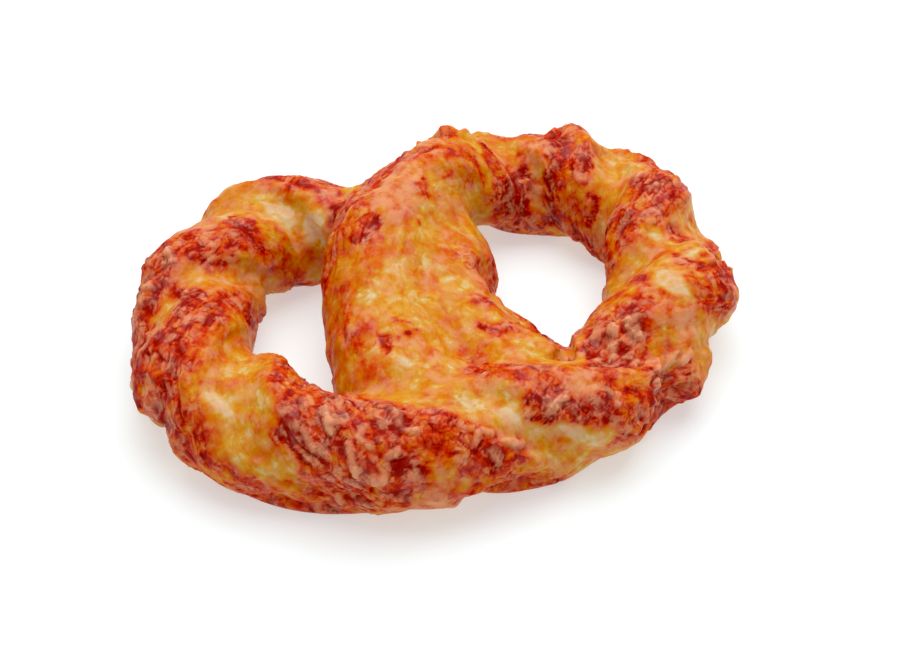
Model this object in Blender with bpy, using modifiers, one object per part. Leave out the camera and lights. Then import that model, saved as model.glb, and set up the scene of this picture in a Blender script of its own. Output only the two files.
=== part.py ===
"""A soft cheese pretzel, baked as one piece.

One rope of dough, itself two strands twisted round each other, is bent into a ring with two loops.
Its arms cross behind the middle, lie side by side as a broad bar and are pressed onto the belly.
The dough has fused in the oven, so the whole pretzel is one solid with a flat underside.

Metres, +Z up. The belly is at -Y, the crossed arms are at +Y, and the pretzel lies on z = 0.
"""

import math

import bmesh
import bpy
from mathutils import Vector

MM = 0.001

# The rope from one pressed-down end to the other, in millimetres: place across, place from belly
# to back, height of its middle above where a lying rope has it, the rope's radius, and how many
# half turns the two strands have made round each other so far.
ROPE = (
    (-15, -34, 1, 15, 0.0),
    (-17, -18, 0, 17, 0.1),
    (-13, 4, 1, 17, 0.1),
    (-6, 25, 6, 17, 0.2),
    (6, 40, 8, 15.5, 0.3),
    (20, 51, 3, 15, 0.6),
    (37, 52, 0, 14.5, 1.05),
    (55, 43, 0, 15, 1.6),
    (67, 25, 0, 15.5, 2.25),
    (66, 4, 0, 15.5, 2.85),
    (61, -12, 0, 16.5, 3.25),
    (46, -29, 0, 16, 3.7),
    (23, -43, 0, 15, 4.3),
    (-8, -42, 0, 16.5, 5.0),
    (-34, -39, 0, 16, 5.4),
    (-55, -25, 0, 16.5, 5.75),
    (-66, 2, 0, 16.5, 6.4),
    (-61, 26, 0, 16, 7.05),
    (-50, 42, 0, 15.5, 7.6),
    (-33, 52, 0, 15.5, 8.1),
    (-13, 47, -1, 15, 8.6),
    (4, 30, -1, 17, 8.8),
    (5, 8, 0, 15.5, 8.9),
    (9, -14, 0, 15, 9.0),
    (15, -34, 1, 15, 9.0),
)
RINGS_A_SPAN = 5  # rings of each strand between two places of the rope
SETTLED = 0.87  # height of a lying rope's middle, as a share of its radius: the dough has sagged

# Two strands side by side make the rope's width, and each is thinner than the rope.
STRAND_SHARE = 0.86  # radius
STRAND_OFFSET = 0.19  # distance from the rope's middle
STRAND_ROUNDNESS = 6  # bevel_resolution: 16 sides

WELD = 0.1 * MM
FUSED_CELL = 2.4 * MM  # the skin over both strands can't follow a crease narrower than this
SOFTENING = 0.5
SOFTENING_ROUNDS = 6
FACES_KEPT = 0.4

TABLE_CUT = (0.4, 0.4, 0.04)

CHEESE_CRUST = (0.72, 0.24, 0.05, 1.0)
CRUST_ROUGHNESS = 0.5


def between(before, start, end, after, share):
    """A smooth value a share of the way from start to end, given their neighbours (Catmull-Rom)."""
    slope_at_start = (end - before) / 2
    slope_at_end = (after - start) / 2
    rise = end - start
    square = 3 * rise - 2 * slope_at_start - slope_at_end
    cube = slope_at_start + slope_at_end - 2 * rise
    return start + share * (slope_at_start + share * (square + share * cube))


def smooth_stations(places, steps):
    """Stations on a smooth line through the places, carrying every column of them."""
    columns = range(len(places[0]))
    lead_in = [2 * places[0][c] - places[1][c] for c in columns]
    lead_out = [2 * places[-1][c] - places[-2][c] for c in columns]
    held = [lead_in, *places, lead_out]
    stations = []
    for i in range(1, len(held) - 2):
        near = held[i - 1 : i + 3]
        for step in range(steps):
            stations.append([between(*(row[c] for row in near), step / steps) for c in columns])
    stations.append(list(places[-1]))
    return stations


def strand_rings(strand):
    """Centre and radius of each ring of one strand (0 or 1) as it winds along the rope."""
    stations = smooth_stations(ROPE, RINGS_A_SPAN)
    middles = [Vector((x, y, SETTLED * r + lift)) * MM for x, y, lift, r, _ in stations]
    rings = []
    for i, (_, _, _, radius, half_turns) in enumerate(stations):
        ahead = middles[min(i + 1, len(middles) - 1)] - middles[max(i - 1, 0)]
        leftward = Vector((-ahead.y, ahead.x, 0)).normalized()
        upward = ahead.cross(leftward).normalized()
        angle = math.pi * (half_turns + strand)
        out = leftward * math.cos(angle) + upward * math.sin(angle)
        rings.append((middles[i] + out * STRAND_OFFSET * radius * MM, STRAND_SHARE * radius * MM))
    return rings


def strand_mesh(strand):
    """One strand as a closed tube whose radius follows the rope's."""
    rings = strand_rings(strand)
    curve = bpy.data.curves.new(f"strand_{strand}_line", "CURVE")
    curve.dimensions = "3D"
    curve.bevel_depth = 1.0
    curve.bevel_resolution = STRAND_ROUNDNESS
    curve.use_fill_caps = True
    line = curve.splines.new("POLY")
    line.points.add(len(rings) - 1)
    for point, (centre, radius) in zip(line.points, rings):
        point.co = (*centre, 1)
        point.radius = radius
    guide = bpy.data.objects.new(f"strand_{strand}_guide", curve)
    bpy.context.scene.collection.objects.link(guide)
    bpy.context.view_layer.update()
    graph = bpy.context.evaluated_depsgraph_get()
    mesh = bpy.data.meshes.new_from_object(guide.evaluated_get(graph))
    bpy.data.objects.remove(guide)
    return mesh


def rope_mesh():
    """Both strands in one mesh, their caps welded on."""
    bm = bmesh.new()
    for strand in (0, 1):
        bm.from_mesh(strand_mesh(strand))
    bmesh.ops.remove_doubles(bm, verts=bm.verts, dist=WELD)
    bmesh.ops.recalc_face_normals(bm, faces=bm.faces)
    mesh = bpy.data.meshes.new("pretzel")
    bm.to_mesh(mesh)
    bm.free()
    mesh.shade_smooth()
    return mesh


def table_cutter(collection):
    """A block whose top is the table: what the dough would have below it is taken off flat."""
    bm = bmesh.new()
    bmesh.ops.create_cube(bm, size=1)
    bmesh.ops.scale(bm, vec=TABLE_CUT, verts=bm.verts)
    bmesh.ops.translate(bm, vec=(0, 0, -TABLE_CUT[2] / 2), verts=bm.verts)
    mesh = bpy.data.meshes.new("table_cut")
    bm.to_mesh(mesh)
    bm.free()
    cutter = bpy.data.objects.new("table_cut", mesh)
    cutter.hide_render = True
    cutter.display_type = "WIRE"
    collection.objects.link(cutter)
    return cutter


def crust():
    """Dough under browned cheese: orange, with a slight greasy shine."""
    material = bpy.data.materials.new("cheese_crust")
    material.use_nodes = True
    shader = material.node_tree.nodes["Principled BSDF"]
    shader.inputs["Base Color"].default_value = CHEESE_CRUST
    shader.inputs["Roughness"].default_value = CRUST_ROUGHNESS
    shader.inputs["Metallic"].default_value = 0.0
    return material


def bake_together(pretzel, cutter):
    """Fuses the strands into one skin, rounds its creases and settles it flat on the table."""
    fuse = pretzel.modifiers.new("fuse", "REMESH")
    fuse.mode = "VOXEL"
    fuse.voxel_size = FUSED_CELL
    fuse.use_smooth_shade = True
    soften = pretzel.modifiers.new("soften", "SMOOTH")
    soften.factor = SOFTENING
    soften.iterations = SOFTENING_ROUNDS
    thin_out = pretzel.modifiers.new("thin_out", "DECIMATE")
    thin_out.ratio = FACES_KEPT
    lie_flat = pretzel.modifiers.new("lie_flat", "BOOLEAN")
    lie_flat.operation = "DIFFERENCE"
    lie_flat.object = cutter


def centre_on_origin(obj):
    """Moves the object along the table until its box is centred on the origin."""
    bpy.context.view_layer.update()
    graph = bpy.context.evaluated_depsgraph_get()
    corners = [Vector(corner) for corner in obj.evaluated_get(graph).bound_box]
    obj.location.x = -(min(c.x for c in corners) + max(c.x for c in corners)) / 2
    obj.location.y = -(min(c.y for c in corners) + max(c.y for c in corners)) / 2


def main():
    for obj in list(bpy.data.objects):
        bpy.data.objects.remove(obj)
    collection = bpy.data.collections.new("soft_pretzel")
    cutters = bpy.data.collections.new("cutters")
    bpy.context.scene.collection.children.link(collection)
    bpy.context.scene.collection.children.link(cutters)

    pretzel = bpy.data.objects.new("pretzel", rope_mesh())
    pretzel.data.materials.append(crust())
    collection.objects.link(pretzel)
    bake_together(pretzel, table_cutter(cutters))
    centre_on_origin(pretzel)


main()
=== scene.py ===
# %% [markdown]
# # A soft cheese pretzel
# A baker twists two strands of dough into one rope, bends the rope into the pretzel knot, strews it
# with grated cheese and bakes it. This script makes that pretzel for a picture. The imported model
# gives the place and the size. Everything below gives the looks: the risen dough, the melted and
# browned cheese, the light and the camera.

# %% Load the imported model
import math

import bmesh
import bpy
import numpy as np
from mathutils import Matrix, Vector, noise


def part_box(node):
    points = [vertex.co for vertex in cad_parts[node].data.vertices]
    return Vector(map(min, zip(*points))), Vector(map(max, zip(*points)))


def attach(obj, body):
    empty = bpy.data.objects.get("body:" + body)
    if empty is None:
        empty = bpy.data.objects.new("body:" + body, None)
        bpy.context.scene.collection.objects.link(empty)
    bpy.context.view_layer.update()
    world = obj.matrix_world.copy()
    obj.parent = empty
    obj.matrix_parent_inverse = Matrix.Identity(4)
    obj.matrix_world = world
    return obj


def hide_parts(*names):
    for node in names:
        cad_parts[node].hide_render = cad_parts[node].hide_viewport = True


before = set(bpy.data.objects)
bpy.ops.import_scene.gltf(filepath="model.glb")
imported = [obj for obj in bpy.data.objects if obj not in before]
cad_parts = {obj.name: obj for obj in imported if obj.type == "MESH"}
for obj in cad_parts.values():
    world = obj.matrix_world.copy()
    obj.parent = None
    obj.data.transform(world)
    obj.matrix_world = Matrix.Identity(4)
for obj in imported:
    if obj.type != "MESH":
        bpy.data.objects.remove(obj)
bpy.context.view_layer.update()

MM = 0.001
low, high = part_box("pretzel")
middle = (low + high) / 2
print("packed size in mm:", [round(side / MM, 1) for side in high - low])

# %% [markdown]
# ## The rope's line
# The shape of a pretzel is easiest to hold as a line through the middle of its rope, with the
# rope's thickness at each place. Two dozen places are enough, and a smooth curve through them gives
# the rest. The rope starts under the left half of the broad bar, goes up to the crossing, round the
# right loop, along the belly, round the left loop, under the crossing and down the right half of
# the bar. The last column counts how many half turns the two strands have made round each other.

# %% Places along the rope
# across, from belly to back, lift of the middle, radius (mm), half turns so far
ROPE = (
    (-15, -34, 1, 15, 0.0),
    (-17, -18, 0, 17, 0.1),
    (-13, 4, 1, 17, 0.1),
    (-6, 25, 6, 17, 0.2),
    (6, 40, 8, 15.5, 0.3),
    (20, 51, 3, 15, 0.6),
    (37, 52, 0, 14.5, 1.05),
    (55, 43, 0, 15, 1.6),
    (67, 25, 0, 15.5, 2.25),
    (66, 4, 0, 15.5, 2.85),
    (61, -12, 0, 16.5, 3.25),
    (46, -29, 0, 16, 3.7),
    (23, -43, 0, 15, 4.3),
    (-8, -42, 0, 16.5, 5.0),
    (-34, -39, 0, 16, 5.4),
    (-55, -25, 0, 16.5, 5.75),
    (-66, 2, 0, 16.5, 6.4),
    (-61, 26, 0, 16, 7.05),
    (-50, 42, 0, 15.5, 7.6),
    (-33, 52, 0, 15.5, 8.1),
    (-13, 47, -1, 15, 8.6),
    (4, 30, -1, 17, 8.8),
    (5, 8, 0, 15.5, 8.9),
    (9, -14, 0, 15, 9.0),
    (15, -34, 1, 15, 9.0),
)
SETTLED = 0.87  # a lying rope's middle is this share of its radius above the table
STEPS_A_SPAN = 12
STRAND_SHARE = 0.86  # a strand's radius, as a share of the rope's
STRAND_OFFSET = 0.19  # how far a strand's middle is from the rope's, as a share of the rope's radius


def smooth_stations(places, steps):
    """Stations on a smooth curve through the places (Catmull-Rom), carrying every column."""
    held = np.array(places, float)
    held = np.vstack([2 * held[0] - held[1], held, 2 * held[-1] - held[-2]])
    stations = []
    for before, start, end, after in zip(held, held[1:], held[2:], held[3:]):
        slope_in = (end - before) / 2
        slope_out = (after - start) / 2
        square = 3 * (end - start) - 2 * slope_in - slope_out
        cube = slope_in + slope_out - 2 * (end - start)
        for share in np.arange(steps) / steps:
            stations.append(start + share * (slope_in + share * (square + share * cube)))
    return np.array([*stations, held[-2]])


stations = smooth_stations(ROPE, STEPS_A_SPAN)
radius = stations[:, 3]
half_turns = stations[:, 4]
line = np.column_stack([stations[:, 0], stations[:, 1], SETTLED * radius + stations[:, 2]])
ahead = np.gradient(line, axis=0)
ahead /= np.linalg.norm(ahead, axis=1)[:, None]
leftward = np.column_stack([-ahead[:, 1], ahead[:, 0], np.zeros(len(line))])
leftward /= np.linalg.norm(leftward, axis=1)[:, None]
upward = np.cross(ahead, leftward)
along = np.concatenate([[0], np.cumsum(np.linalg.norm(np.diff(line, axis=0), axis=1))])
print("rope:", round(along[-1]), "mm of dough,", len(line), "stations")

# %% [markdown]
# ## Two strands, grown together
# Each strand is a tube that winds round the rope's line. In the oven the two rise into one loaf, and
# the crease between them softens. Joining the tubes with a boolean would leave that crease sharp, so
# they go through a voxel remesh, which wraps one skin over everything that touches. Its cell is
# small here, because the grated cheese is modelled on the same skin.

# %% Strands of dough
# across, from belly to back, height, radius (mm) of a lump of dough that closes a gap
PLUGS = ((23.5, -30, 15.5, 8.5), (27, -28, 8.5, 8))
TUBE_ROUNDNESS = 8  # bevel_resolution: 20 sides
PLUG_ROUNDNESS = 3
WELD = 0.05 * MM
SKIN_CELL = 0.72 * MM
OVEN_ROUNDS = 14  # rounds of smoothing, which round the creases as rising dough does
OVEN_SOFTENING = 0.5


def strand_tube(strand):
    """One strand as a closed tube mesh."""
    angle = math.pi * (half_turns + strand)
    out = leftward * np.cos(angle)[:, None] + upward * np.sin(angle)[:, None]
    rings = line + out * (STRAND_OFFSET * radius)[:, None]
    curve = bpy.data.curves.new("strand_line", "CURVE")
    curve.dimensions = "3D"
    curve.bevel_depth = 1.0
    curve.bevel_resolution = TUBE_ROUNDNESS
    curve.use_fill_caps = True
    spline = curve.splines.new("POLY")
    spline.points.add(len(rings) - 1)
    for point, centre, thick in zip(spline.points, rings, radius):
        point.co = (*(centre * MM), 1)
        point.radius = STRAND_SHARE * thick * MM
    guide = bpy.data.objects.new("strand_guide", curve)
    bpy.context.scene.collection.objects.link(guide)
    bpy.context.view_layer.update()
    graph = bpy.context.evaluated_depsgraph_get()
    tube = bpy.data.meshes.new_from_object(guide.evaluated_get(graph))
    bpy.data.objects.remove(guide)
    return tube


def laid_strands():
    """Both strands and the plugs in one mesh, still passing through each other."""
    bm = bmesh.new()
    for strand in (0, 1):
        bm.from_mesh(strand_tube(strand))
    for across, back, height, size in PLUGS:
        spot = Matrix.Translation(Vector((across, back, height)) * MM)
        bmesh.ops.create_icosphere(bm, subdivisions=PLUG_ROUNDNESS, radius=size * MM, matrix=spot)
    bmesh.ops.remove_doubles(bm, verts=bm.verts, dist=WELD)
    bmesh.ops.recalc_face_normals(bm, faces=bm.faces)
    mesh = bpy.data.meshes.new("strands")
    bm.to_mesh(mesh)
    bm.free()
    return mesh


# %% Let the dough rise into one skin
def risen_dough():
    """The strands under one soft skin, as an object whose modifiers are applied."""
    dough = bpy.data.objects.new("soft_pretzel", laid_strands())
    bpy.context.scene.collection.objects.link(dough)
    rise = dough.modifiers.new("rise", "REMESH")
    rise.mode = "VOXEL"
    rise.voxel_size = SKIN_CELL
    soften = dough.modifiers.new("soften", "SMOOTH")
    soften.factor = OVEN_SOFTENING
    soften.iterations = OVEN_ROUNDS
    bpy.context.view_layer.update()
    graph = bpy.context.evaluated_depsgraph_get()
    skin = bpy.data.meshes.new_from_object(dough.evaluated_get(graph))
    dough.modifiers.clear()
    dough.data = skin
    skin.name = "soft_pretzel"
    return dough


pretzel = risen_dough()
skin = pretzel.data
count = len(skin.vertices)
print("skin:", count, "points,", len(skin.polygons), "faces")


# %% Read the skin as arrays
def read_vectors(source, name):
    """A vector of every point of the skin, as one array of rows."""
    values = np.empty(count * 3, np.float32)
    source.foreach_get(name, values)
    return values.reshape(-1, 3).astype(float)


place = read_vectors(skin.vertices, "co") / MM
facing = read_vectors(skin.vertex_normals, "vector")
print("dough before it is centred:", place.min(0).round(1), place.max(0).round(1))

# %% [markdown]
# ## Pools of melted cheese
# Where one arm lies against another, cheese ran in and filled the gap, so there is no sharp crease
# there. A smooth modifier would flatten the crests as well. Instead the skin is relaxed towards the
# middle of its neighbours, but a point may only rise: that fills a hollow and leaves every crest as
# it is.

# %% Fill the hollows
# across, from belly to back, reach (mm)
POOLS = ((-2, -30, 34), (-5, -2, 24), (2, 24, 14), (26, -28, 17))
POOL_ROUNDS = 90
POOL_FADE = 2.2  # a pool thins out over the outer 1 / POOL_FADE of its reach
EVERYWHERE = 0.12  # the share of filling that every crease gets

edges = np.empty(len(skin.edges) * 2, np.int32)
skin.edges.foreach_get("vertices", edges)
ends = np.concatenate([edges[0::2], edges[1::2]])
others = np.concatenate([edges[1::2], edges[0::2]])
neighbours = np.bincount(ends, minlength=count)
pooled = np.full(count, EVERYWHERE)
for across, back, reach in POOLS:
    gap = np.hypot(place[:, 0] - across, place[:, 1] - back) / reach
    pooled = np.maximum(pooled, np.clip(POOL_FADE * (1 - gap), 0, 1))
for _ in range(POOL_ROUNDS):
    between = np.column_stack([np.bincount(ends, place[others, axis]) for axis in range(3)])
    rise = ((between / neighbours[:, None] - place) * facing).sum(1)
    place += (pooled * np.maximum(rise, 0))[:, None] * facing
skin.vertices.foreach_set("co", (place * MM).astype(np.float32).ravel())
skin.update()
facing = read_vectors(skin.vertex_normals, "vector")
print("hollows filled on", int((pooled > 0.5).sum()), "points")

# %% [markdown]
# ## A map of the rope
# To say where the cheese browned, it helps to have a map that bends with the rope. Each point of
# the skin gets the place along the rope that it belongs to and its angle round it: 0 degrees is the
# side to the left of the rope's travel, 90 the top, 180 the other side. Taking the twist away from
# that angle leaves the angle within the pair of strands, which tells a strand's crest from the
# valley between the two.

# %% Which stretch of the rope a point belongs to
ELSEWHERE = 45  # mm along the rope: stations further off than this are another stretch of rope
FAR = 9  # rope radii: stands for any gap too wide to matter
BATCH = 4000  # points compared with the whole rope at once


def nearest_station(points):
    """The rope station that each point is deepest in, and how clearly so, against other stretches."""
    found = np.empty(len(points), int)
    clear = np.empty(len(points))
    for start in range(0, len(points), BATCH):
        part = slice(start, start + BATCH)
        gap = np.linalg.norm(points[part, None] - line[None], axis=2) / radius[None]
        found[part] = gap.argmin(axis=1)
        other = np.abs(along[None] - along[found[part], None]) > ELSEWHERE
        clear[part] = np.where(other, gap, FAR).min(axis=1) - gap.min(axis=1)
    return found, clear


station, clear_of_others = nearest_station(place)
print("points where two stretches meet:", int((clear_of_others < 0.05).sum()))

# %% Place along the rope and angle round it
BOTTOM = math.radians(-90)


def past_station(points, where):
    """How far each point is past a station's cross-section."""
    return ((points - line[where]) * ahead[where]).sum(1)


def along_at(number):
    """How far along the rope (mm) a place of ROPE is, or a point between two of them."""
    return np.interp(number, range(len(ROPE)), along[::STEPS_A_SPAN])


away = place - line[station]
first = np.clip(station - (past_station(place, station) < 0), 0, len(line) - 2)
past_first = past_station(place, first)
share_on = past_first / (past_first - past_station(place, first + 1))
travelled = along[first] + np.clip(share_on, -1, 2) * (along[first + 1] - along[first])
sideways = (away * leftward[station]).sum(1)
above = (away * upward[station]).sum(1)
turned = np.arctan2(above, sideways)
turned = np.where(turned < BOTTOM, turned + 2 * math.pi, turned)
thickness = np.interp(travelled, along, radius)
in_the_pair = turned - math.pi * np.interp(travelled, along, half_turns)
crest = np.cos(in_the_pair) ** 2
print("crest share of the skin:", round(float(crest.mean()), 2))

# %% [markdown]
# ## Random fields
# Nothing on a baked crust is even. Blender's noise functions give values that change smoothly over
# a chosen size, and the same ones on every run. They could be read in plain space, and for blotches
# they are. Reading them in rope coordinates instead gives wrinkles that run with the strands.

# %% Noise over the skin
SEED_SHIFT = np.array([31.7, 11.3, 5.9])  # each seed reads its own region of the noise
OCTAVE_FALL = 1.0  # how much weaker each finer octave is (H)
OCTAVE_STEP = 2.0  # how many times finer each octave is (lacunarity)
FOLD_GAIN = 2.6

rope_coordinates = np.column_stack([travelled, in_the_pair * thickness, (away**2).sum(1) ** 0.5])


def clouds(where, size, octaves, seed):
    """A smooth random value at each point, about -1 to 1, changing over size (mm)."""
    rows = (where / size + SEED_SHIFT * seed).tolist()
    return np.array([noise.fractal(row, OCTAVE_FALL, OCTAVE_STEP, octaves) for row in rows])


def folds(where, size, octaves, seed):
    """Rounded folds with narrow grooves between them: 0 in a groove, 1 on a fold."""
    return np.minimum(np.abs(clouds(where, size, octaves, seed)) * FOLD_GAIN, 1)


def ease(value, start, end):
    """0 before start, 1 after end, and smooth between."""
    share = np.clip((value - start) / (end - start), 0, 1)
    return share * share * (3 - 2 * share)


wander_along = clouds(place, size=7, octaves=3, seed=1)
wander_round = clouds(place, size=7, octaves=3, seed=2)
blotches = clouds(place, size=8, octaves=4, seed=3)
print("noise spans", blotches.min().round(2), "to", blotches.max().round(2))

# %% [markdown]
# ## Where the cheese browned
# Cheese on the crests sees the most heat and turns red-brown; what ran into the valleys stays
# yellow. That rule gives the general pattern. The patches that make this pretzel itself are
# then listed, each with its place on the rope's map and its size, like dabs of paint. A later
# dab covers an earlier one.

# %% Finishes and patches
# finish: how brown (0 pale, 1 darkest), how much dry tan cheese shows on it (0 to 1)
FINISHES = {
    "cream": (0.02, 0.45),
    "gold": (0.2, 0.1),
    "amber": (0.4, 0.0),
    "tan": (0.46, 0.75),
    "red": (0.62, 0.3),
    "brown": (0.66, 0.52),
    "dark": (0.8, 0.42),
}
# most dabs lay browning; the two dark dabs on the left loop's outer side lay painted shade
# finish, rope place (number in ROPE), angle, half length along, half width round (mm), lean
PATCHES = (
    # the bar's left half and the crossing over
    ("gold", 1.6, 95, 16, 14, 0),
    ("amber", 2.4, 60, 12, 9, 0),
    ("amber", 0.9, 30, 12, 7, 0),
    ("amber", 1.9, 25, 14, 7, 0),
    ("red", 2.6, 25, 6, 5, 0),
    ("dark", 0.95, 74, 4.5, 3.5, 20),
    ("red", 1.05, 94, 2, 1.6, 0),
    ("red", 1.2, 106, 1.5, 2, 0),
    ("red", 1.32, 95, 1.4, 1.8, 0),
    ("dark", 2.78, 70, 3.5, 4.5, 0),
    ("red", 2.9, 60, 5, 5, 0),
    ("tan", 3.45, 88, 12, 9, 0),
    ("red", 3.65, 112, 3, 3, 30),
    ("red", 3.1, 121, 2, 2, 0),
    ("red", 4.3, 118, 3.5, 2.2, 30),
    ("red", 4.6, 141, 4, 3, 0),
    ("tan", 4.55, 75, 7, 6, 0),
    ("amber", 4.85, 92, 5, 5, 0),
    ("gold", 0.15, 65, 7, 6, 0),
    ("cream", 0.5, 95, 3, 4, 0),
    # the right loop's back
    ("gold", 5.12, 95, 2.6, 9, 0),
    ("gold", 5.2, 135, 3, 9, 0),
    ("red", 5.5, 110, 4, 12, 0),
    ("dark", 5.95, 150, 4, 10, 0),
    ("dark", 6.25, 150, 4, 12, 0),
    ("tan", 6.5, 105, 4, 6, 0),
    ("dark", 6.9, 150, 5, 12, 0),
    ("brown", 6.8, 90, 5, 5, 0),
    ("dark", 6.95, 190, 7, 7, 0),
    ("brown", 7.12, 92, 4, 6, 0),
    ("dark", 7.27, 115, 2.5, 3, 0),
    ("gold", 7.65, 110, 2.8, 11, 0),
    ("gold", 7.8, 72, 5, 5, 0),
    ("dark", 7.85, 152, 3.5, 5, 0),
    ("brown", 8.15, 90, 6, 8, 0),
    ("dark", 8.4, 93, 3, 5, 0),
    ("brown", 8.45, 60, 7, 8, 0),
    ("dark", 8.6, 137, 5, 7, 0),
    ("brown", 8.95, 100, 3, 8, 0),
    ("brown", 9.2, 62, 4, 8, 0),
    ("dark", 8.8, 172, 7, 6, 0),
    # the right loop's front
    ("gold", 9.85, 62, 3, 6, 0),
    ("amber", 10.0, 112, 5, 8, 0),
    ("brown", 10.0, 48, 3.5, 4, 0),
    ("brown", 10.2, 28, 6, 7, 0),
    ("gold", 10.3, 92, 5, 8, 0),
    ("cream", 10.48, 84, 4.5, 7, 0),
    ("red", 10.4, 58, 4, 5, 0),
    ("amber", 10.85, 130, 8, 6, 0),
    ("gold", 10.6, 4, 6, 4, 0),
    ("tan", 10.8, 50, 5, 8, 0),
    ("brown", 11.35, 97, 12, 11, 0),
    ("dark", 11.6, 118, 6, 6, 0),
    ("dark", 11.75, 98, 4, 6, 20),
    ("brown", 11.4, 45, 8, 7, 0),
    ("dark", 11.45, 27, 5, 3, 0),
    ("brown", 11.4, 8, 14, 5, 0),
    ("brown", 12.0, 20, 7, 6, 0),
    # the belly
    ("tan", 12.2, 78, 7, 6, 0),
    ("brown", 12.42, 62, 8, 8.5, 0),
    ("dark", 12.5, 70, 4, 4, 0),
    ("gold", 13.0, 88, 6, 6, 0),
    ("gold", 12.15, 20, 5, 5, 0),
    ("red", 12.75, 10, 9, 6, 0),
    ("brown", 13.1, 40, 7, 5.5, -20),
    ("dark", 12.85, 28, 4, 2.5, -20),
    ("dark", 13.2, 60, 4, 2.5, -30),
    ("cream", 12.95, 82, 4.5, 5.5, -35),
    ("cream", 12.76, 64, 4.4, 6.5, -35),
    ("cream", 12.52, 42, 4.4, 7, -35),
    ("cream", 12.25, 24, 4, 6, -35),
    ("red", 13.4, 72, 5, 5, 0),
    ("dark", 13.3, 18, 2, 3, 0),
    ("gold", 13.25, 3, 3, 4, 0),
    # the front ridge
    ("brown", 14.05, 8, 15, 8, 0),
    ("red", 14.2, -20, 18, 8, 0),
    ("tan", 13.6, -22, 8, 5, 0),
    ("amber", 13.45, 12, 4, 5, 0),
    ("brown", 13.8, 40, 9, 10, 0),
    ("brown", 14.2, 75, 9, 9, 0),
    ("dark", 14.35, 40, 6, 8, 20),
    ("dark", 13.75, 38, 5, 4, 0),
    ("dark", 14.3, 95, 5, 4, 0),
    ("brown", 14.6, 65, 6, 9, 0),
    ("dark", 14.7, 55, 4, 5, 20),
    ("red", 15.0, 113, 3, 4, 0),
    ("red", 14.93, -5, 4, 5, 0),
    # the front-left valley
    ("gold", 15.5, 108, 6, 9, 0),
    ("cream", 15.3, 62, 4, 5, 0),
    ("gold", 15.1, 32, 5, 7, 0),
    ("gold", 14.75, 6, 6, 4, 0),
    # the left loop's outer side and crests
    ("brown", 15.65, 6, 8, 5, 0),
    ("dark", 15.95, 14, 4, 3, 0),
    ("brown", 16.3, 18, 12, 6, 0),
    ("dark", 16.3, 16, 5, 3, 0),
    ("dark", 16.1, 36, 3, 3, 0),
    ("red", 16.15, 62, 3, 4, 0),
    ("brown", 16.95, 34, 10, 8, 0),
    # the next two dark dabs are painted shade on the left loop's outer side, which faces away from
    # the light
    ("dark", 16.7, 8, 14, 5, 0),
    ("dark", 17.3, 16, 8, 5, 0),
    ("dark", 17.3, 50, 8, 5, 0),
    ("brown", 16.75, 82, 5, 9, 20),
    ("dark", 16.5, 84, 3, 3, 0),
    ("brown", 17.45, 98, 5, 7, 0),
    ("tan", 17.9, 72, 5, 8, 20),
    ("brown", 18.3, 95, 3.5, 7, 30),
    ("amber", 18.6, 130, 5, 9, 30),
    ("dark", 18.15, 100, 2, 6, 30),
    ("amber", 16.1, 140, 10, 7, 0),
    # the left loop's top
    ("cream", 18.3, 74, 4, 4, 0),
    ("gold", 18.8, 86, 6, 6, 0),
    ("cream", 19.0, 112, 5, 8, 0),
    ("amber", 19.25, 100, 4, 4, 0),
    ("cream", 19.6, 138, 6, 7, 0),
    ("gold", 19.4, 118, 5, 5, 0),
    ("tan", 19.8, 98, 5, 5, 0),
    ("gold", 20.1, 82, 5, 5, 0),
    ("amber", 19.3, 172, 12, 5, 0),
    # the arm underneath, the bar's right half
    ("brown", 22.0, 62, 8, 6, 0),
    ("gold", 22.5, 115, 16, 8, 0),
    ("red", 22.65, 86, 5, 3, 0),
    ("red", 23.2, 88, 5, 6, 0),
    ("dark", 23.15, 90, 2.5, 3, 0),
    ("red", 23.5, 70, 5, 5, 0),
    ("amber", 23.5, 128, 7, 6, 0),
)
print(len(FINISHES), "finishes in", len(PATCHES), "patches")

# %% Brown the cheese
VALLEY_LEVEL = 0.3
CREST_LEVEL = 0.62
CREST_EDGE = (0.15, 0.85)
BLOTCHINESS = 0.18
DRYNESS = 0.25
DRYNESS_CHANGE = 0.3
DAB_EDGE = (0.35, 1.25)  # a dab is full up to the first share of its size, and gone at the second
RAGGED = 4.0  # mm by which a dab's outline wanders
OTHER_SIDE = 170  # degrees round the rope that a dab never passes


def dab(number, angle, length, width, lean=0):
    """How much each point belongs to a ragged oval on the rope's map, 0 to 1."""
    turn = np.abs(np.degrees(turned) - angle)
    across = np.radians(np.degrees(turned) - angle) * thickness + RAGGED * wander_round
    down = travelled - along_at(number) + RAGGED * wander_along
    tilt = math.radians(lean)
    u = (down * math.cos(tilt) + across * math.sin(tilt)) / length
    v = (across * math.cos(tilt) - down * math.sin(tilt)) / width
    return (1 - ease(np.hypot(u, v), *DAB_EDGE)) * (turn < OTHER_SIDE)


browning = VALLEY_LEVEL + (CREST_LEVEL - VALLEY_LEVEL) * ease(crest, *CREST_EDGE)
browning += BLOTCHINESS * blotches
dryness = DRYNESS + DRYNESS_CHANGE * blotches
# each dab sets the level of browning, or for the two dark dabs on the left loop the painted shade
for finish, number, angle, length, width, lean in PATCHES:
    level, dry = FINISHES[finish]
    share = dab(number, angle, length, width, lean)
    browning += share * (level - browning)
    dryness += share * (dry - dryness)
print("mean browning", round(float(browning.mean()), 2))
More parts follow.
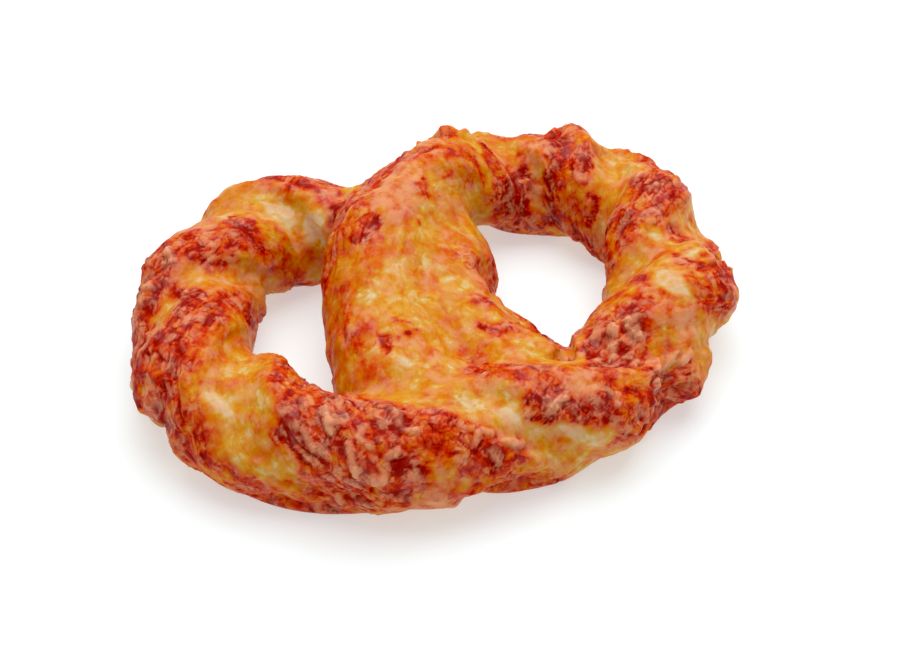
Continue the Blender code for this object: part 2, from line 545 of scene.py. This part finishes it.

# %% [markdown]
# ## Grated cheese
# Where the cheese lay thick and dry it didn't melt away: its shreds still stand as rounded bars and
# crumbs, tan on top and dark round their feet. Separate pieces would float on the dough or cut into
# it, and melted cheese does neither, so the skin itself is raised. A shred is a short line on the
# skin, and each point rises by how near it is to one. The large ones are placed one by one and the
# small ones at random, more on the browned patches.

# %% Lay a shred
KNOBBLY = 0.45  # how far a shred's outline wanders, as a share of its radius
BODY_EDGE = (0.45, 1.15)  # shares of its radius over which a shred's side falls
FOOT_EDGE = (1.0, 2.1)  # and over which the dark ring round its foot fades
SHRED_REACH = 3  # radii beyond its ends that a shred may touch

knobbles = clouds(place, size=1.8, octaves=2, seed=9)
shred_height = np.zeros(count)
shred_tan = np.zeros(count)
shred_foot = np.zeros(count)


def lay_shred(start, end, thick, height, tan):
    """Raises the skin round a short bar of cheese from start to end."""
    reach = SHRED_REACH * thick + np.linalg.norm(end - start)
    near = np.flatnonzero(((place - start) ** 2).sum(1) < reach**2)
    bar = end - start
    share = np.clip(((place[near] - start) @ bar) / max(bar @ bar, 1e-9), 0, 1)
    gap = np.linalg.norm(place[near] - start - share[:, None] * bar, axis=1) / thick
    gap += KNOBBLY * knobbles[near]
    body = 1 - ease(gap, *BODY_EDGE)
    shred_height[near] = np.maximum(shred_height[near], height * body)
    shred_tan[near] = np.maximum(shred_tan[near], tan * body)
    shred_foot[near] = np.maximum(shred_foot[near], 1 - ease(gap, *FOOT_EDGE))


def lay_at(point, length, thick, height, direction, tan):
    """A shred centred on a point of the skin, along a direction on it."""
    here = station[point]
    over = np.cross(facing[point], ahead[here])
    way = ahead[here] * math.cos(direction) + over * math.sin(direction)
    half = way * max(length / 2 - thick, 0)
    lay_shred(place[point] - half, place[point] + half, thick, height, tan)


# %% Shreds placed one by one
# rope place, angle, length, radius, height (mm), direction (degrees from along the rope)
PLACED_SHREDS = (
    (14.35, 74, 9, 1.3, 1.0, -60),
    (14.12, 42, 10, 1.25, 1.2, -75),
    (14.5, 55, 8, 1.1, 0.9, -60),
    (13.9, 22, 4, 1.7, 1.2, 10),
    (13.68, 24, 3, 1.7, 1.2, 60),
    (13.8, 45, 5, 1.2, 0.9, 20),
    (12.72, 33, 8, 1.5, 1.2, -20),
    (12.95, 48, 5, 1.2, 0.8, -20),
    (11.35, 108, 4, 1.6, 1.2, 70),
    (11.25, 84, 6, 1.9, 1.4, 80),
    (11.5, 68, 5, 1.4, 1.2, 10),
    (11.5, 97, 6, 1.4, 1.0, 30),
    (11.2, 98, 4, 1.5, 1.0, 20),
    (11.35, 46, 7, 1.1, 0.9, 20),
    (11.2, 36, 7, 1.1, 0.9, 10),
    (11.05, 26, 6, 1.1, 0.9, 10),
    (12.4, 60, 5, 1.2, 0.9, 40),
    (12.3, 66, 4, 1.2, 0.9, 0),
    (8.1, 92, 4, 1.2, 0.8, 80),
    (16.95, 40, 5, 1.2, 0.9, 60),
    (17.3, 62, 6, 1.2, 0.9, 20),
)


def on_the_skin(number, angle):
    """The point of the skin at a place on the rope's map."""
    missed = np.hypot(travelled - along_at(number), (turned - math.radians(angle)) * thickness)
    return int(missed.argmin())


for number, angle, length, thick, height, direction in PLACED_SHREDS:
    lay_at(on_the_skin(number, angle), length, thick, height, math.radians(direction), tan=1.0)
print(len(PLACED_SHREDS), "shreds placed")

# %% Shreds and crumbs strewn at random
SEED = 7
SHREDS = 80
SHRED_LENGTH = (2.5, 6.5)
SHRED_RADIUS = (0.7, 1.15)
SHRED_HEIGHT = (0.2, 0.5)
SHRED_TAN = (0, 0.6)
CRUMBS = 300
CRUMB_RADIUS = (0.6, 1.3)
CRUMB_HEIGHT = (0.25, 0.45)  # as a share of the crumb's radius
CRUMB_TAN = (0, 0.5)
BROWN_ENOUGH = (0.5, 0.85)
DRY_ENOUGH = (0.05, 0.5)
UNDERSIDE_FACING = -0.5  # skin that faces down more than this gets no more than the stray share
STRAY = 0.01  # the chance of cheese anywhere, against 1 where it is browned and dry

rng = np.random.default_rng(SEED)
chance = ease(browning, *BROWN_ENOUGH) * ease(dryness, *DRY_ENOUGH)
chance = chance * (facing[:, 2] > UNDERSIDE_FACING) + STRAY
chance /= chance.sum()
for point in rng.choice(count, SHREDS, p=chance):
    length = rng.uniform(*SHRED_LENGTH)
    thick = rng.uniform(*SHRED_RADIUS)
    height = rng.uniform(*SHRED_HEIGHT)
    direction = rng.uniform(0, math.pi)
    lay_at(point, length, thick, height, direction, rng.uniform(*SHRED_TAN))
for point in rng.choice(count, CRUMBS, p=chance):
    thick = rng.uniform(*CRUMB_RADIUS)
    height = thick * rng.uniform(*CRUMB_HEIGHT)
    lay_at(point, 0, thick, height, 0, rng.uniform(*CRUMB_TAN))
print(SHREDS, "shreds and", CRUMBS, "crumbs strewn")

# %% [markdown]
# ## The surface in relief
# Real dough is never as even as two tubes. A displace modifier could push it about, but it can't
# tell a crest from a valley, so the relief is worked out here, from large to small: the valley
# between the strands is drawn in, the dough swells and sinks, lumps and wrinkles follow, and the
# cheese stands on top. Near the table it all fades, because the tray pressed the underside flat.

# %% Where the dough swelled while it baked
# rope place, angle, half length, half width (mm), height (mm; where it sank, less than 0)
SWELLS = (
    # the bar's left half and the crossing over
    (1.8, 5, 26, 8, 0.9),
    (3.9, 50, 12, 11, -2.5),
    (4.75, 55, 5, 8, -1.8),
    # the right loop's back
    (5.3, 50, 8, 11, 3.4),
    (6.0, 222, 10, 9, -1.4),
    (6.4, 48, 9, 12, -1.4),
    (7.1, 48, 8, 12, 3.0),
    (7.2, 222, 8, 8, 1.2),
    (7.9, 50, 6, 11, -2.2),
    (8.5, 40, 5, 12, 0.6),
    (9.35, 35, 8, 11, -3.0),
    # the right loop's front
    (10.05, 20, 8, 12, 1.8),
    (10.5, 185, 14, 9, 2.0),
    (10.95, 10, 8, 14, 2.4),
    (11.4, -5, 9, 13, -5.2),
    (11.95, -20, 6, 11, 0.4),
    # the belly
    (12.75, -34, 13, 12, -4.2),
    (13.65, -32, 14, 12, 2.0),
    (14.5, -32, 13, 12, -2.3),
    (14.6, 135, 12, 10, -1.8),
    (14.85, -32, 16, 12, -1.2),
    # the left loop's front
    (15.5, 170, 7, 10, 1.8),
    (15.55, -20, 5, 10, 1.8),
    (15.65, -10, 5, 10, -1.6),
    (16.05, 0, 10, 14, 4.0),
    # the left loop's back and top
    (17.5, 35, 8, 12, 1.2),
    (17.8, 190, 8, 10, 2.0),
    (18.6, 50, 7, 10, 1.2),
    (18.6, 220, 9, 9, 1.2),
    (19.8, 48, 16, 12, -1.2),
    (20.7, 60, 7, 10, 2.6),
    # the arm underneath, the bar's right half
    (22.2, 10, 12, 12, -3.6),
    (23.0, 35, 26, 11, -3.4),
    (24.0, 20, 9, 11, -1.0),
)
swelling = sum(height * dab(*where) for *where, height in SWELLS)
print("swellings:", swelling.min().round(2), "to", swelling.max().round(2), "mm")

# %% Wrinkles and valleys
VALLEY_DEPTH = 2.2
VALLEY_EDGE = (0.45, 1.0)
SIDE_VALLEY = 0.3  # on the rope's sides the valley is only this share as deep
FACES_UP = (0.0, 0.8)
LOOPS_START = (70, 95)  # mm along the rope over which the two strands begin to show
LOOPS_END = (455, 480)  # and over which they end: in the bar they are one broad form
APART = (0.05, 0.5)  # rope radii from another stretch over which the valley comes in
OWN_SKIN = (0.02, 0.25)  # and over which the rope's own wrinkles do
STRETCH = [0.4, 1, 1]  # wrinkles are 1 / 0.4 times as long along the strands as across them
CRINKLE_STRETCH = [1.5, 1, 1]
GROOVE_EDGE = (0.05, 0.4)
ROUGH_FROM = (0.42, 0.8)  # browning over which the crust turns rough

own_skin = ease(clear_of_others, *OWN_SKIN)
on_loops = ease(travelled, *LOOPS_START) * (1 - ease(travelled, *LOOPS_END))
on_loops = on_loops * ease(clear_of_others, *APART)
seen_from_above = SIDE_VALLEY + (1 - SIDE_VALLEY) * ease(facing[:, 2], *FACES_UP)
valley = -VALLEY_DEPTH * ease(1 - crest, *VALLEY_EDGE) * seen_from_above * on_loops
stretched = rope_coordinates * STRETCH
large_folds = folds(stretched, size=4.2, octaves=2, seed=5)
crinkles = folds(stretched * CRINKLE_STRETCH, size=2.3, octaves=2, seed=6)
roughened = ease(browning, *ROUGH_FROM)
# where the grooves between the folds lie; the material paints shade into them
grooves = (1 - ease(large_folds, *GROOVE_EDGE)) * 0.7 + (1 - ease(crinkles, *GROOVE_EDGE)) * 0.5
grooves *= own_skin
print("grooved share of the skin:", round(float((grooves > 0.5).mean()), 2))

# %% Raise the relief
LUMPS = 1.0
FOLDS = 0.8
SMOOTH_FOLDS = 0.25  # the share of that height that folds keep on smooth melted cheese
CRINKLES = 0.2
SMOOTH_CRINKLES = 0.15
TRAY_EDGE = (0.2, 3.0)  # mm above the tray over which the relief comes in

relief = valley + swelling
relief += LUMPS * clouds(place, size=11, octaves=2, seed=4)
fold_height = FOLDS * (SMOOTH_FOLDS + (1 - SMOOTH_FOLDS) * roughened)
relief += fold_height * (large_folds - 0.5) * own_skin
crinkle_height = CRINKLES * (SMOOTH_CRINKLES + (1 - SMOOTH_CRINKLES) * roughened)
relief += crinkle_height * (crinkles - 0.5) * own_skin
relief += shred_height
relief *= ease(place[:, 2], *TRAY_EDGE)
shaped = place + facing * relief[:, None]
shaped[:, 2] = np.maximum(shaped[:, 2], 0)

centre_now = (shaped.min(0) + shaped.max(0)) / 2
shaped[:, :2] += np.array(middle[:2]) / MM - centre_now[:2]
skin.vertices.foreach_set("co", (shaped * MM).astype(np.float32).ravel())
skin.update()
skin.shade_smooth()
print("relief:", relief.min().round(2), "to", relief.max().round(2), "mm")
print("size:", (shaped.max(0) - shaped.min(0)).round(1), "mm")

# %% [markdown]
# ## Values for the material
# The material has to know what the mesh knows: how brown each point is, with the painted shade on
# the left loop's outer side, where shreds lie and where grooves run, which get painted shade. An
# image would need unwrapping. Attributes keep one value for every point, and with points as close
# as these that is fine enough; the shader's noise adds what is smaller.

# %% Store the map on the mesh
DARKEST = 1.1
# a groove's darkness is painted shade in the creases of the relief
SMOOTH_GROOVES = 0.3  # the share of a groove's darkness that is kept on smooth melted cheese
UNDERSIDE_EDGE = (-0.5, 0.6)


def store(name, values, kind="FLOAT"):
    """Keeps a value of every point on the mesh, for the material to read."""
    attribute = skin.attributes.new(name, kind, "POINT")
    field = "value" if kind == "FLOAT" else "vector"
    attribute.data.foreach_set(field, values.astype(np.float32).ravel())


# painted shade: the grooves are darkened in colour, less on smooth melted cheese
groove_shade = grooves * (SMOOTH_GROOVES + (1 - SMOOTH_GROOVES) * roughened)
store("browning", np.clip(browning, 0, DARKEST))
store("dryness", np.clip(dryness, 0, 1))
store("shred", np.clip(shred_tan, 0, 1))
store("foot", shred_foot)
store("own_skin", own_skin)
store("groove", np.clip(groove_shade, 0, 1))
store("underside", 1 - ease(place[:, 2], *UNDERSIDE_EDGE))
store("with_strands", rope_coordinates, "FLOAT_VECTOR")
print("the mesh now carries:", ", ".join(attribute.name for attribute in skin.attributes))

# %% [markdown]
# ## Shader arithmetic
# A material in Blender is a graph of nodes. Linking Math nodes one by one hides what they work out.
# Written as sums and products it stays readable, so the class below wraps one output of a node, and
# an operator on it adds the Math node that does it.


# %% One output of a node
class Value:
    """An output socket. Arithmetic on it adds Math nodes."""

    def __init__(self, tree, socket):
        self.tree = tree
        self.socket = socket

    def math(self, operation, *others):
        """A Math node on this value and the others."""
        values = dict(enumerate([self, *others]))
        return make(self.tree, "ShaderNodeMath", {"operation": operation}, values)

    def __add__(self, other):
        return self.math("ADD", other)

    def __mul__(self, other):
        return self.math("MULTIPLY", other)

    def __sub__(self, other):
        return self.math("SUBTRACT", other)

    def __rsub__(self, other):
        return self * -1 + other

    __radd__ = __add__
    __rmul__ = __mul__

    def clamped(self):
        """The value kept within 0 and 1."""
        return self.math("MINIMUM", 1).math("MAXIMUM", 0)

    def eased(self, start, end):
        """0 below start, 1 above end, and smooth between."""
        settings = {"interpolation_type": "SMOOTHSTEP"}
        values = {"Value": self, "From Min": start, "From Max": end}
        return make(self.tree, "ShaderNodeMapRange", settings, values)


# %% Any other node
def set_stops(ramp, stops):
    """Gives a colour ramp its stops, each a position and a colour."""
    while len(ramp.elements) < len(stops):
        ramp.elements.new(1.0)
    for element, (position, colour) in zip(ramp.elements, stops):
        element.position = position
        element.color = (*colour, 1)


def make(tree, kind, settings, values, output=0):
    """A node of this kind: its settings first, then its sockets' values or links."""
    node = tree.nodes.new(kind)
    for name, setting in settings.items():
        if name == "stops":
            set_stops(node.color_ramp, setting)
        else:
            setattr(node, name, setting)
    for name, value in values.items():
        if isinstance(value, Value):
            tree.links.new(value.socket, node.inputs[name])
        else:
            node.inputs[name].default_value = value
    return Value(tree, node.outputs[output])


# %% [markdown]
# ## Cheese crust
# One skin carries every finish from pale yellow melted cheese to dark red-brown crust, and they run
# into each other, so one material makes them all. The stored browning, with painted shade on the
# left loop's outer side, sets the level, and noise of several sizes breaks it up. Painted shade in
# the grooves darkens it further. A colour ramp then turns the level into a colour, the way an oven
# does.
# The dry tan cheese lies over it in flecks and on the shreds. Fat leaves a thin gloss in spots.


# %% Colours of baking
def as_seen(red, green, blue):
    """A colour given as it looks on a screen, 0 to 255, as the linear values that shaders take."""
    shares = (np.array([red, green, blue]) / 255).tolist()
    return tuple(s / 12.92 if s <= 0.04045 else ((s + 0.055) / 1.055) ** 2.4 for s in shares)


BAKING = (
    (0.0, as_seen(206, 184, 142)),
    (0.15, as_seen(204, 151, 50)),
    (0.33, as_seen(203, 121, 14)),
    (0.5, as_seen(202, 98, 14)),
    (0.66, as_seen(198, 66, 8)),
    (0.82, as_seen(184, 36, 4)),
    (1.0, as_seen(148, 14, 3)),
)
TAN_CHEESE = as_seen(214, 152, 114)
TRAY_CRUST = as_seen(190, 120, 60)
print("pale to dark in", len(BAKING), "stops")


# %% Sources for the crust's nodes
def stored(tree, name, output="Fac"):
    """A value that was stored on the mesh."""
    return make(tree, "ShaderNodeAttribute", {"attribute_name": name}, {}, output)


def scaled(tree, vector, scale):
    """A vector with each part multiplied by its own scale."""
    return make(tree, "ShaderNodeVectorMath", {"operation": "MULTIPLY"}, {0: vector, 1: scale})


def speckle(vector, size, detail=2, bend=0.0):
    """Noise about 0 that changes over a size (mm), drawn out of shape by bend."""
    values = {"Vector": vector, "Scale": 1 / size, "Detail": detail,
              "Roughness": 0.5, "Distortion": bend}
    return make(vector.tree, "ShaderNodeTexNoise", {}, values)


def blended(share, first, second):
    """The first colour at share 0, the second at share 1."""
    settings = {"data_type": "RGBA", "clamp_factor": True}
    return make(share.tree, "ShaderNodeMix", settings, {0: share, 6: first, 7: second}, 2)


# %% The crust itself
BUMP_HEIGHT = 0.6 * MM
COAT_ROUGHNESS = 0.18
SPECULAR = 0.06
SOFT_LIGHT = 0.6  # the share of light that goes into the dough and comes out again
SOFT_LIGHT_REACH = (1.0, 0.3, 0.1)  # red goes furthest
SOFT_LIGHT_DEPTH = 2 * MM


def cheese_crust():
    """The whole pretzel's crust."""
    material = bpy.data.materials.new("cheese_crust")
    material.use_nodes = True
    tree = material.node_tree
    shader = tree.nodes["Principled BSDF"]

    where = make(tree, "ShaderNodeTexCoord", {}, {}, "Object")
    millimetres = scaled(tree, where, (1 / MM,) * 3)
    strands = scaled(tree, stored(tree, "with_strands", "Vector"), (0.3, 1, 1))
    level = stored(tree, "browning")
    dry = stored(tree, "dryness")
    shred = stored(tree, "shred")
    foot = stored(tree, "foot")
    underside = stored(tree, "underside")
    groove = stored(tree, "groove")

    # how hot each spot got, plus painted shade in the grooves
    blotch = speckle(millimetres, 6.0, detail=3, bend=0.6) - 0.5
    mottle = speckle(millimetres, 2.2, bend=0.4) - 0.5
    streak = (speckle(strands, 2.0, bend=0.8) - 0.5) * stored(tree, "own_skin")
    grain = speckle(millimetres, 0.8) - 0.5
    wandering = speckle(millimetres, 4.0, bend=0.8) - 0.5
    crackle = (1 - wandering.math("ABSOLUTE").eased(0.0, 0.09)) * level.eased(0.3, 0.7)
    unevenness = blotch * 1.8 + mottle * 1.0 + streak * 0.4 + grain * 0.25
    bake_and_groove_shade = level + unevenness * (0.3 + level * 0.9)
    bake_and_groove_shade = bake_and_groove_shade + foot * (1 - shred) * 0.1 + groove * 0.24 + crackle * 0.2
    colour = make(tree, "ShaderNodeValToRGB", {"stops": BAKING}, {"Fac": bake_and_groove_shade.clamped()}, "Color")

    # dry tan cheese over it, kept out of the grooves as painted shade, and plain crust where it lay
    # on the tray
    fleck = speckle(millimetres, 3.6, detail=3, bend=0.3)
    flecks = (fleck + dry * 0.34 + streak * 0.15 - groove * 0.35 - crackle * 0.1).eased(0.45, 0.85)
    tan = (flecks * 0.7 + shred * 0.62).clamped()
    colour = blended(tan, colour, (*TAN_CHEESE, 1))
    colour = blended(underside, colour, (*TRAY_CRUST, 1))
    tree.links.new(colour.socket, shader.inputs["Base Color"])

    # relief smaller than the mesh can hold
    pits = speckle(millimetres, 1.0).eased(0.3, 0.42)
    height = streak * 0.3 + mottle * 0.3 + grain * 0.06 + pits * 0.05 - crackle * 0.2
    values = {"Height": height, "Strength": 1.0, "Distance": BUMP_HEIGHT}
    bump = make(tree, "ShaderNodeBump", {}, values, "Normal")
    tree.links.new(bump.socket, shader.inputs["Normal"])

    # gloss
    rough = 0.4 + flecks * 0.18 + mottle * 0.5 + underside * 0.2
    tree.links.new(rough.clamped().socket, shader.inputs["Roughness"])
    greasy = speckle(millimetres, 5.0).eased(0.5, 0.62)
    coat = greasy * (1 - flecks * 0.6) * 0.4
    tree.links.new(coat.clamped().socket, shader.inputs["Coat Weight"])
    shader.inputs["Coat Roughness"].default_value = COAT_ROUGHNESS
    shader.inputs["Specular IOR Level"].default_value = SPECULAR
    shader.inputs["Subsurface Weight"].default_value = SOFT_LIGHT
    shader.inputs["Subsurface Radius"].default_value = SOFT_LIGHT_REACH
    shader.inputs["Subsurface Scale"].default_value = SOFT_LIGHT_DEPTH
    return material


crust = cheese_crust()
skin.materials.clear()
skin.materials.append(crust)
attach(pretzel, "root")
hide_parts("pretzel")
print("cheese_crust:", len(crust.node_tree.nodes), "nodes")

# %% [markdown]
# ## White table
# Food is often shown on a white sheet that runs out of sight. A large flat square does as well, as
# long as it is bright enough to lose its edges. Its paint gives off a little light of its own, which
# keeps the shadow soft and pale without washing out the crust. It takes up red a little more than
# green and blue, against the orange light that the crust throws on it.

# %% Table
TABLE_HALF = 3  # metres
UNDER_THE_DOUGH = 0.2 * MM
TABLE_PAINT = (0.5, 0.57, 0.58, 1)
TABLE_ROUGHNESS = 0.9
TABLE_GLOW = (1, 0.98, 0.97, 1)
TABLE_GLOW_STRENGTH = 0.47

bm = bmesh.new()
bmesh.ops.create_grid(bm, x_segments=1, y_segments=1, size=TABLE_HALF)
floor_mesh = bpy.data.meshes.new("white_table")
bm.to_mesh(floor_mesh)
bm.free()
floor = bpy.data.objects.new("white_table", floor_mesh)
floor.location.z = low.z - UNDER_THE_DOUGH
bpy.context.scene.collection.objects.link(floor)
white = bpy.data.materials.new("white_paint")
white.use_nodes = True
paint = white.node_tree.nodes["Principled BSDF"].inputs
paint["Base Color"].default_value = TABLE_PAINT
paint["Roughness"].default_value = TABLE_ROUGHNESS
paint["Emission Color"].default_value = TABLE_GLOW
paint["Emission Strength"].default_value = TABLE_GLOW_STRENGTH
floor_mesh.materials.append(white)
print("table:", 2 * TABLE_HALF, "m square")

# %% [markdown]
# ## Light
# A small lamp would give hard shadows and sharp glints. Here a white room lights everything evenly,
# and one big softbox above and a little behind gives the gloss and the shadow in front. The picture
# is shown with plain colours, and a little white haze is taken off the darks.

# %% Soft studio light
ROOM_LIGHT = 0.56
SOFTBOX_PLACE = Vector((0.14, 0.2, 0.9))
SOFTBOX_SIDE = 1.0
SOFTBOX_WATTS = 9.0
HAZE = 0.006

world = bpy.data.worlds.new("white_room")
bpy.context.scene.world = world
world.use_nodes = True
room = world.node_tree.nodes["Background"].inputs
room["Color"].default_value = (1, 1, 1, 1)
room["Strength"].default_value = ROOM_LIGHT
light = bpy.data.lights.new("softbox_above", "AREA")
light.shape = "SQUARE"
light.size = SOFTBOX_SIDE
light.energy = SOFTBOX_WATTS
softbox = bpy.data.objects.new("softbox_above", light)
softbox.location = SOFTBOX_PLACE
softbox.rotation_euler = (middle - SOFTBOX_PLACE).to_track_quat("-Z", "Y").to_euler()
bpy.context.scene.collection.objects.link(softbox)
view = bpy.context.scene.view_settings
view.view_transform = "Standard"
view.use_curve_mapping = True
view.curve_mapping.black_level = (HAZE, HAZE, HAZE)
view.curve_mapping.update()
print("softbox:", SOFTBOX_SIDE, "m,", SOFTBOX_WATTS, "W; room:", ROOM_LIGHT)

# %% [markdown]
# ## Camera
# The camera looks down at the pretzel from its front left. A long lens from further off keeps the
# near belly from looking larger than the far loops. The aim is close to the middle of the pretzel.

# %% Point the camera
AZIMUTH = math.radians(-20)
ELEVATION = math.radians(43)
DISTANCE = 0.583
LENS = 85
SENSOR = 36
AIM = Vector((middle.x + 0.0055, middle.y - 0.0038, low.z + 0.0113))

towards_camera = Vector((math.sin(AZIMUTH) * math.cos(ELEVATION),
                         -math.cos(AZIMUTH) * math.cos(ELEVATION),
                         math.sin(ELEVATION)))
camera_data = bpy.data.cameras.new("camera")
camera_data.lens = LENS
camera_data.sensor_width = SENSOR
camera = bpy.data.objects.new("camera", camera_data)
camera.location = AIM + towards_camera * DISTANCE
camera.rotation_euler = towards_camera.to_track_quat("Z", "Y").to_euler()
bpy.context.scene.collection.objects.link(camera)
bpy.context.scene.camera = camera
print("camera:", LENS, "mm lens at", [round(part, 3) for part in camera.location])
